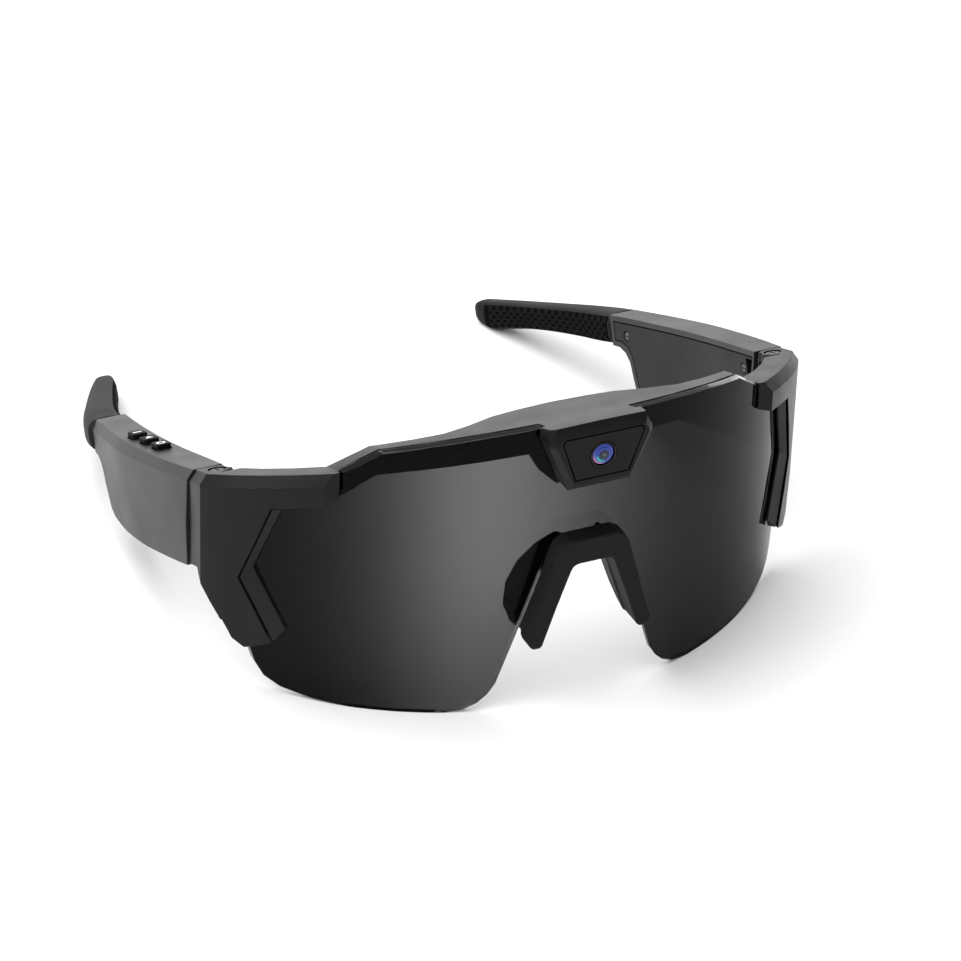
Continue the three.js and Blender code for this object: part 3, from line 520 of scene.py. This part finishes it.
def skin(name, rings):
    """Closed mesh through rings of equal length, with fan caps and outward faces."""
    rings = np.asarray(rings, float)
    count, sides = rings.shape[:2]
    points = [tuple(p) for p in rings.reshape(-1, 3)]
    ends = [tuple(rings[0].mean(0)), tuple(rings[-1].mean(0))]
    faces = [(i * sides + j, i * sides + (j + 1) % sides, (i + 1) * sides + (j + 1) % sides,
              (i + 1) * sides + j) for i in range(count - 1) for j in range(sides)]
    first, last = len(points), len(points) + 1
    base = (count - 1) * sides
    for j in range(sides):
        after = (j + 1) % sides
        faces += [(first, after, j), (last, base + j, base + after)]
    mesh = bpy.data.meshes.new(name)
    mesh.from_pydata(points + ends, [], faces)
    work = bmesh.new()
    work.from_mesh(mesh)
    bmesh.ops.recalc_face_normals(work, faces=work.faces)
    for face in work.faces:
        face.smooth = True
    work.to_mesh(mesh)
    work.free()
    return mesh


# %% Ear tips
# Each row: distance back from the hinge, inner side, outer side and underside, in mm.
TIP_ROWS = [(82.3, 67.7, 77.6, -8.4), (90, 66.3, 76.3, -8.5), (99, 64.2, 73.4, -7.9),
            (108, 61.3, 69.8, -7.3), (117, 58.3, 66.2, -7.1), (125, 55.5, 62.9, -7.5),
            (131, 53.5, 60.2, -7.92), (135, 52.4, 58.2, -6.62), (136.9, 52.6, 56.6, -5.6)]
CROWN, CROWN_FALLS_FROM, CROWN_RATE = -0.05, 135.2, 0.35
SEAM_GROOVE = dict(deep=0.45, long=0.7)
TIP_SIDES, TIP_RINGS = 96, 170
RINGS_CROWD_TO_END = 1.35
SQUARENESS = 0.62           # 1 is an ellipse, and less is squarer
BEAD = dict(proud=0.14, width=0.07, turn=2.25, ends=134.0, fades=4.0)


def tip_centre_and_half(y):
    """Middle and half sizes of the tip's section at a distance back from the hinge, in mm."""
    inner, outer, under = (along(TIP_ROWS, y, c) for c in (1, 2, 3))
    crown = CROWN - max(0.0, y - CROWN_FALLS_FROM) * CROWN_RATE
    return (inner + outer) / 2, (crown + under) / 2, (outer - inner) / 2, (crown - under) / 2


def tip_surface(y, turn, proud=0.0):
    """Point of the tip's skin in the temple's axes; turn 0 faces the head, in mm."""
    mid_x, mid_z, half_x, half_z = tip_centre_and_half(y)
    bend = lambda v: math.copysign(abs(v) ** SQUARENESS, v)
    return (mid_x - bend(math.cos(turn)) * (half_x + proud), y,
            mid_z + bend(math.sin(turn)) * (half_z + proud))


def ear_tip(side):
    """Rubber tip with its moulding line, for one side (+1 is the wearer's left)."""
    first, last = TIP_ROWS[0][0], TIP_ROWS[-1][0]
    rings = []
    for i in range(TIP_RINGS):
        share = i / (TIP_RINGS - 1)
        y = first + (last - first) * (1 - (1 - share) ** RINGS_CROWD_TO_END)
        groove = SEAM_GROOVE["deep"] if y < first + SEAM_GROOVE["long"] else 0.0
        ring = []
        for k in range(TIP_SIDES):
            turn = 2 * math.pi * (k + 0.5) / TIP_SIDES
            near_bead = max(0.0, 1 - abs(turn - BEAD["turn"]) / BEAD["width"])
            fade = min(1.0, max(0.0, (BEAD["ends"] - y) / BEAD["fades"]))
            bead = BEAD["proud"] * near_bead * fade
            x, back, z = tip_surface(y, turn, bead - groove)
            ring.append(temple_point(side * x, back, z))
        rings.append(ring)
    return skin("ear_tip_skin", rings)


for side, word in ((1, "left"), (-1, "right")):
    tip = finish_piece(f"ear_tip_{word}_skin", ear_tip(side), f"temple_{word}", "tip_rubber",
                       [f"ear_tip_{word}"])
    print(tip.name, len(tip.data.polygons), "faces")

# %% [markdown]
# The side of each tip that touches the head has a grip of small diamonds. Geometry Nodes
# suit them: one tree sets a four-sided stud on every point it is given, turned so that it
# stands straight out of the rubber, and makes the result one real mesh. The points lie in
# three staggered lanes and come from the tip's own surface rule, so the studs follow its
# curve and close up evenly where the tip narrows.


# %% A tree that sets studs on points
def stud_tree():
    """Geometry Nodes group: a small blunt cone on each point, along its lean attribute."""
    tree = bpy.data.node_groups.new("studs_on_points", "GeometryNodeTree")
    add = tree.interface.new_socket
    add("Points", in_out="INPUT", socket_type="NodeSocketGeometry")
    for name, value in (("Base Radius", 0.5 * MM), ("Top Radius", 0.1 * MM), ("Height", 0.3 * MM)):
        add(name, in_out="INPUT", socket_type="NodeSocketFloat").default_value = value
    add("Sides", in_out="INPUT", socket_type="NodeSocketInt").default_value = 4
    add("Finish", in_out="INPUT", socket_type="NodeSocketMaterial")
    add("Studs", in_out="OUTPUT", socket_type="NodeSocketGeometry")
    make, link = tree.nodes.new, tree.links.new
    given, result = make("NodeGroupInput"), make("NodeGroupOutput")
    cone = make("GeometryNodeMeshCone")
    link(given.outputs["Sides"], cone.inputs["Vertices"])
    link(given.outputs["Base Radius"], cone.inputs["Radius Bottom"])
    link(given.outputs["Top Radius"], cone.inputs["Radius Top"])
    link(given.outputs["Height"], cone.inputs["Depth"])
    lean = make("GeometryNodeInputNamedAttribute")
    lean.data_type = "FLOAT_VECTOR"
    lean.inputs["Name"].default_value = "lean"
    aim = make("FunctionNodeAlignRotationToVector")
    link(lean.outputs["Attribute"], aim.inputs["Vector"])
    place = make("GeometryNodeInstanceOnPoints")
    link(given.outputs["Points"], place.inputs["Points"])
    link(cone.outputs["Mesh"], place.inputs["Instance"])
    link(aim.outputs["Rotation"], place.inputs["Rotation"])
    real, paint = make("GeometryNodeRealizeInstances"), make("GeometryNodeSetMaterial")
    link(place.outputs["Instances"], real.inputs["Geometry"])
    link(real.outputs["Geometry"], paint.inputs["Geometry"])
    link(given.outputs["Finish"], paint.inputs["Material"])
    link(paint.outputs["Geometry"], result.inputs["Studs"])
    return tree


def grown(name, tree, points, leans, **inputs):
    """Runs a points tree on a list of points with leans, and returns the plain mesh."""
    mesh = bpy.data.meshes.new(name)
    mesh.from_pydata([tuple(p) for p in points], [], [])
    lean = mesh.attributes.new("lean", "FLOAT_VECTOR", "POINT")
    lean.data.foreach_set("vector", np.array([tuple(v) for v in leans], np.float32).ravel())
    carrier = bpy.data.objects.new(name, mesh)
    bpy.context.scene.collection.objects.link(carrier)
    modifier = carrier.modifiers.new(name, "NODES")
    modifier.node_group = tree
    sockets = {s.name: s.identifier for s in tree.interface.items_tree if s.in_out == "INPUT"}
    for label, value in inputs.items():
        modifier[sockets[label.replace("_", " ")]] = value
    return baked(carrier)


STUDS = stud_tree()

# %% Points of the diamond grip
GRIP = dict(first=85.2, last=131.0, pitch=2.6, lanes=3, reach=0.86)
STUD = dict(base=1.22, top=1.02, height=0.4, sunk=0.15)
TURN_STEP, BACK_STEP = 0.02, 0.2


def skin_direction(y, turn):
    """Unit vector straight out of the tip's skin, in the temple's axes."""
    here = np.array(tip_surface(y, turn))
    ahead = np.array(tip_surface(y + BACK_STEP, turn)) - here
    around = (np.array(tip_surface(y, turn + TURN_STEP))
              - np.array(tip_surface(y, turn - TURN_STEP)))
    out = np.cross(ahead, around)
    return out * -np.sign(out[0]) / np.linalg.norm(out)


def grip_points(side):
    """Staggered points over the head side of a tip, and the way each one leans out."""
    points, leans = [], []
    rows = int((GRIP["last"] - GRIP["first"]) / (GRIP["pitch"] / 2))
    for i in range(rows):
        y = GRIP["first"] + i * GRIP["pitch"] / 2
        steps = GRIP["lanes"] - i % 2
        for j in range(steps):
            rise = (j - (steps - 1) / 2) / GRIP["lanes"] * 2 * GRIP["reach"]
            turn = math.asin(math.copysign(abs(rise) ** (1 / SQUARENESS), rise))
            out = skin_direction(y, turn)
            base = np.array(tip_surface(y, turn)) - out * STUD["sunk"]
            foot = temple_point(side * base[0], base[1], base[2])
            ahead = base + out
            points.append(foot)
            leans.append((temple_point(side * ahead[0], ahead[1], ahead[2]) - foot).normalized())
    return points, leans


# %% Grip pad and diamonds
PAD = dict(turn=0.75, proud=0.06, sunk=0.4, margin=1.2)
PAD_POINTS, PAD_RINGS = 25, 90


def grip_pad(side):
    """Thin dark panel that the diamonds stand on, a little proud of the tip's head side."""
    turns = np.linspace(-PAD["turn"], PAD["turn"], PAD_POINTS)
    rings = []
    for y in np.linspace(GRIP["first"] - PAD["margin"], GRIP["last"] + PAD["margin"], PAD_RINGS):
        loop = [tip_surface(y, t, PAD["proud"]) for t in turns]
        loop += [tip_surface(y, t, -PAD["sunk"]) for t in reversed(turns)]
        rings.append([temple_point(side * x, back, z) for x, back, z in loop])
    return skin("grip_pad", rings)


rubber = FINISH["grip_rubber"]
for side, word in ((1, "left"), (-1, "right")):
    finish_piece(f"tip_grip_pad_{word}", grip_pad(side), f"temple_{word}", "tip_rubber",
                 material=rubber)
    points, leans = grip_points(side)
    mesh = grown(f"tip_grip_{word}", STUDS, points, leans, Base_Radius=STUD["base"] * MM,
                 Top_Radius=STUD["top"] * MM, Height=STUD["height"] * MM, Finish=rubber)
    finish_piece(f"tip_grip_{word}", mesh, f"temple_{word}", "tip_rubber", material=rubber)
    print("grip", word, len(points), "diamonds")

# %% [markdown]
# ## Screws
# The hinge screws and the small cover screws all have a cross recess. One screw is turned
# from a profile and its recess is cut with two tapered blades. The hinge screws are that
# mesh in place. The four cover screws of each temple repeat, so a second Geometry Nodes
# tree sets the same screw on each point that the CAD gives.


# %% One screw
POLE = 1e-4                 # smallest radius, so that a ring on the axis isn't one point
HEAD_EDGE = 0.14            # the rest are shares of the head's radius or depth
BLADE_TOP = dict(long=1.36, wide=0.34)
BLADE_FOOT = dict(long=0.7, wide=0.2, deep=0.72)
BLADE_OVER = 0.1            # mm that a blade stands over the head, for a clean cut


def turned(name, profile, sides=48):
    """Solid turned about Z from (radius, height) points that start and end on the axis."""
    turns = [2 * math.pi * k / sides for k in range(sides)]
    return skin(name, [[(max(r, POLE) * math.cos(t), max(r, POLE) * math.sin(t), z)
                        for t in turns] for r, z in profile])


def cross_head(name, radius, deep, shank, length):
    """Pan head with a cross recess; the head's top is at z = 0. Sizes in mm."""
    edge = radius * HEAD_EDGE
    profile = [(0, -length), (shank, -length), (shank, -deep), (radius - edge, -deep),
               (radius, -deep + edge), (radius, -edge * 1.6), (radius - edge * 0.5, -edge * 0.5),
               (radius - edge * 1.6, 0), (0, 0)]
    head = bpy.data.objects.new(name, turned(name, profile))
    bpy.context.scene.collection.objects.link(head)
    blades = []
    for turn in (0, math.pi / 2):
        blade = bmesh.new()
        bmesh.ops.create_cube(blade, size=1)
        for v in blade.verts:
            end = BLADE_TOP if v.co.z > 0 else BLADE_FOOT
            v.co.x *= radius * end["long"]
            v.co.y *= radius * end["wide"]
            v.co.z = BLADE_OVER if end is BLADE_TOP else -deep * BLADE_FOOT["deep"]
        bmesh.ops.rotate(blade, verts=blade.verts, cent=(0, 0, 0),
                         matrix=Matrix.Rotation(turn, 3, "Z"))
        mesh = bpy.data.meshes.new(name + "_blade")
        blade.to_mesh(mesh)
        blade.free()
        cutter = bpy.data.objects.new(name + "_blade", mesh)
        bpy.context.scene.collection.objects.link(cutter)
        modifier = head.modifiers.new("recess", "BOOLEAN")
        modifier.object, modifier.operation, modifier.solver = cutter, "DIFFERENCE", "EXACT"
        blades.append(cutter)
    bpy.context.view_layer.update()
    mesh = baked(head)
    for cutter in blades:
        bpy.data.objects.remove(cutter)
    mesh.transform(Matrix.Scale(MM, 4))
    for face in mesh.polygons:
        face.use_smooth = False
    return mesh


# %% Hinge screws
HINGE_SCREW = dict(radius=1.9, deep=1.1, shank=1.0, length=14.0)
HEAD_BELOW_CROWN = 0.2
for side, word in ((1, "left"), (-1, "right")):
    mesh = cross_head("hinge_screw", **HINGE_SCREW)
    place = Matrix.Translation(temple_point(side * HINGE.x / MM, 0, -HEAD_BELOW_CROWN))
    mesh.transform(place @ Matrix.Rotation(-SLOPE, 4, "X"))
    finish_piece(f"hinge_pin_{word}", mesh, "front", "dark_steel", [f"hinge_screw_{word}"])
print("hinge screw heads are", 2 * HINGE_SCREW["radius"], "mm across")


# %% A tree that sets one screw on points
def placed_tree(item):
    """Geometry Nodes group: the given object on each point, along its lean attribute."""
    tree = bpy.data.node_groups.new("item_on_points", "GeometryNodeTree")
    add = tree.interface.new_socket
    add("Points", in_out="INPUT", socket_type="NodeSocketGeometry")
    add("Size", in_out="INPUT", socket_type="NodeSocketFloat").default_value = 1.0
    add("Turn Seed", in_out="INPUT", socket_type="NodeSocketInt").default_value = 3
    add("Finish", in_out="INPUT", socket_type="NodeSocketMaterial")
    add("Items", in_out="OUTPUT", socket_type="NodeSocketGeometry")
    make, link = tree.nodes.new, tree.links.new
    given, result = make("NodeGroupInput"), make("NodeGroupOutput")
    source = make("GeometryNodeObjectInfo")
    source.inputs["Object"].default_value = item
    lean = make("GeometryNodeInputNamedAttribute")
    lean.data_type = "FLOAT_VECTOR"
    lean.inputs["Name"].default_value = "lean"
    aim = make("FunctionNodeAlignRotationToVector")
    link(lean.outputs["Attribute"], aim.inputs["Vector"])
    turn = make("FunctionNodeRandomValue")
    turn.data_type = "FLOAT_VECTOR"
    turn.inputs[0].default_value, turn.inputs[1].default_value = (0, 0, 0), (0, 0, math.pi)
    link(given.outputs["Turn Seed"], turn.inputs["Seed"])
    spin = make("FunctionNodeRotateRotation")
    spin.rotation_space = "LOCAL"
    link(aim.outputs["Rotation"], spin.inputs["Rotation"])
    to_rotation = make("FunctionNodeEulerToRotation")
    link(turn.outputs["Value"], to_rotation.inputs["Euler"])
    link(to_rotation.outputs["Rotation"], spin.inputs["Rotate By"])
    place = make("GeometryNodeInstanceOnPoints")
    link(given.outputs["Points"], place.inputs["Points"])
    link(source.outputs["Geometry"], place.inputs["Instance"])
    link(spin.outputs["Rotation"], place.inputs["Rotation"])
    link(given.outputs["Size"], place.inputs["Scale"])
    real, paint = make("GeometryNodeRealizeInstances"), make("GeometryNodeSetMaterial")
    link(place.outputs["Instances"], real.inputs["Geometry"])
    link(real.outputs["Geometry"], paint.inputs["Geometry"])
    link(given.outputs["Finish"], paint.inputs["Material"])
    link(paint.outputs["Geometry"], result.inputs["Items"])
    return tree


# %% Cover screws
COVER_SCREW = dict(radius=1.15, deep=0.55, shank=0.6, length=3.1)
FIRST_TURN_SEED = 3
small = bpy.data.objects.new("cover_screw_pattern", cross_head("cover_screw", **COVER_SCREW))
bpy.context.scene.collection.objects.link(small)
SCREW_TREE = placed_tree(small)
for side, word in ((1, "left"), (-1, "right")):
    names = [f"cover_screw_{word}_{i}" for i in (1, 2, 3, 4)]
    heads = []
    for name in names:
        low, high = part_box(name)
        middle = (low + high) / 2
        heads.append(Vector((low.x if side > 0 else high.x, middle.y, middle.z)))
    mesh = grown(f"cover_screws_{word}", SCREW_TREE, heads, [(-side, 0, 0)] * len(heads),
                 Turn_Seed=FIRST_TURN_SEED + side, Finish=FINISH["dark_steel"])
    finish_piece(f"cover_screws_{word}", mesh, f"temple_{word}", "dark_steel", names)
bpy.data.objects.remove(small)
print("cover screws set in both temples")

# %% [markdown]
# ## Camera
# Behind the round hole of the face plate sits a turned barrel with fine steps that stop
# stray light, and in it the domed front glass. Both are turned from profiles about the
# lens axis and laid on their backs, so that they look along -Y.

# %% Barrel and glass
LAY = Matrix.Rotation(math.radians(90), 4, "X")


def towards_front(mesh, y):
    """Turns a mesh made about Z to look along -Y, with z = 0 at the given depth."""
    mesh.transform(Matrix.Translation((0, y, GLASS_AXIS.z)) @ LAY @ Matrix.Scale(MM, 4))
    return mesh


plate_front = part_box("camera_face_plate")[0].y
ROUND_SIDES = 96
BARREL_PROFILE = [(0, -4.6), (3.2, -4.6), (3.2, 0.04), (3.14, 0.14), (3.02, 0.18),
                  (2.93, 0.14), (2.9, 0.0), (2.86, -0.5), (2.4, -0.9), (0, -0.92)]
barrel = towards_front(turned("camera_barrel_rings", BARREL_PROFILE, ROUND_SIDES), plate_front)
finish_piece("camera_barrel_rings", barrel, "front", "gloss_black", ["camera_barrel"])
DOME_BACK, DOME_RIM, DOME_RISE, DOME_STEPS = -0.88, -0.5, 0.87, 18
dome_turns = [k * math.pi / (2 * DOME_STEPS) for k in range(DOME_STEPS, -1, -1)]
glass_profile = [(0, DOME_BACK)] + [(GLASS_RADIUS_MM * math.sin(t),
                                     DOME_RIM + DOME_RISE * math.cos(t)) for t in dome_turns]
glass = towards_front(turned("camera_glass_dome", glass_profile, ROUND_SIDES), plate_front)
finish_piece("camera_glass_dome", glass, "front", "camera_glass", ["camera_front_glass"])
print("barrel", len(barrel.polygons), "faces, glass", len(glass.polygons), "faces")

# %% [markdown]
# ## Push buttons
# Three soft-edged keys stand in the top of the wearer's right temple. Each is a skin
# through rounded-rectangle rings that shrink near the top, and its mark is a thin raised
# shape of white paint: a ring, a triangle and a bar, which mean nothing in particular.


# %% Keys
def rounded_ring(half_x, half_y, corner, steps=10):
    """Points of a rounded rectangle about the origin, in mm."""
    ring = []
    for quarter in range(4):
        sx, sy = ((1, 1), (-1, 1), (-1, -1), (1, -1))[quarter]
        for k in range(steps):
            turn = (quarter + k / (steps - 1)) * math.pi / 2
            ring.append((sx * (half_x - corner) + corner * math.cos(turn),
                         sy * (half_y - corner) + corner * math.sin(turn)))
    return ring


KEY_X, KEY_YS = -74.7, {"front": 34.8, "middle": 43.4, "rear": 52.0}
KEY_HALF = (1.9, 2.4)
KEY_CORNER, LEAST_CORNER = 0.7, 0.12
KEY_TOP = 1.2
KEY_ROWS = [(-2.2, 0.0), (1.02, 0.0), (1.12, 0.03), (1.18, 0.09), (KEY_TOP, 0.2)]


def key_mesh(y):
    """One key in the temple's axes, from rows of (height, how far its sides are set in)."""
    rings = []
    for z, inset in KEY_ROWS:
        corner = max(LEAST_CORNER, KEY_CORNER - inset * 0.5)
        outline = rounded_ring(KEY_HALF[0] - inset, KEY_HALF[1] - inset, corner)
        rings.append([temple_point(KEY_X + u, y + v, z) for u, v in outline])
    return skin("key", rings)


# %% Marks
MARK_SUNK, MARK_PROUD = 0.03, 0.035
SAME_POINT = 1e-7


def mark_mesh(outline, y, hole=None):
    """A thin flat mark on top of a key, with an optional hole of the same point count."""
    levels = (KEY_TOP - MARK_SUNK, KEY_TOP + MARK_PROUD)
    count = len(outline)
    points = [temple_point(KEY_X + u, y + v, z) for loop in (outline, hole or [(0.0, 0.0)] * count)
              for z in levels for u, v in loop]
    faces = []
    for k in range(count):
        n = (k + 1) % count
        out_low, out_high, in_low, in_high = ((k + i * count, n + i * count) for i in range(4))
        faces += [(*out_low, *out_high[::-1]), (*in_low[::-1], *in_high),
                  (*out_high, *in_high[::-1]), (*out_low[::-1], *in_low)]
    mesh = bpy.data.meshes.new("key_mark")
    mesh.from_pydata([tuple(p) for p in points], [], faces)
    work = bmesh.new()
    work.from_mesh(mesh)
    bmesh.ops.remove_doubles(work, verts=work.verts, dist=SAME_POINT)
    bmesh.ops.dissolve_degenerate(work, edges=work.edges, dist=SAME_POINT)
    bmesh.ops.recalc_face_normals(work, faces=work.faces)
    work.to_mesh(mesh)
    work.free()
    return mesh


def circle(radius, count=32, turn=0.0):
    """Points of a circle, or of an even-sided shape when there are few, in mm."""
    turns = [2 * math.pi * k / count + turn for k in range(count)]
    return [(radius * math.cos(t), radius * math.sin(t)) for t in turns]


MARKS = {
    "front": (circle(1.15), circle(0.7)),
    "middle": (circle(1.2, 3, math.pi / 2), None),
    "rear": ([(-1.1, -0.35), (1.1, -0.35), (1.1, 0.35), (-1.1, 0.35)], None),
}
for word, y in KEY_YS.items():
    finish_piece(f"key_{word}_cap", key_mesh(y), f"key_{word}", "key_plastic", [f"button_{word}"])
    outline, hole = MARKS[word]
    finish_piece(f"key_{word}_mark", mark_mesh(outline, y, hole), f"key_{word}", "key_plastic",
                 material=white_paint)
print("keys:", list(KEY_YS))

# %% [markdown]
# ## Pieces that keep their CAD shape
# The cells, boards, ribbon, switches, card holder and socket are inside, and the hinge
# knuckles are half hidden. They could be modelled again with pins and labels, but little of
# that would show, so each keeps its CAD shape and only takes a finish.

# %% Finishes for the inner pieces
for name, node in nodes.items():
    if not node.hide_render:
        node.data.materials.clear()
        node.data.materials.append(FINISH[SLOT_OF[name]])
        print(name, "->", FINISH[SLOT_OF[name]].name)

# %% Sizes before the end
low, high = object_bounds()
print("visual box in mm:", [round((b - a) / MM, 1) for a, b in zip(low, high)])
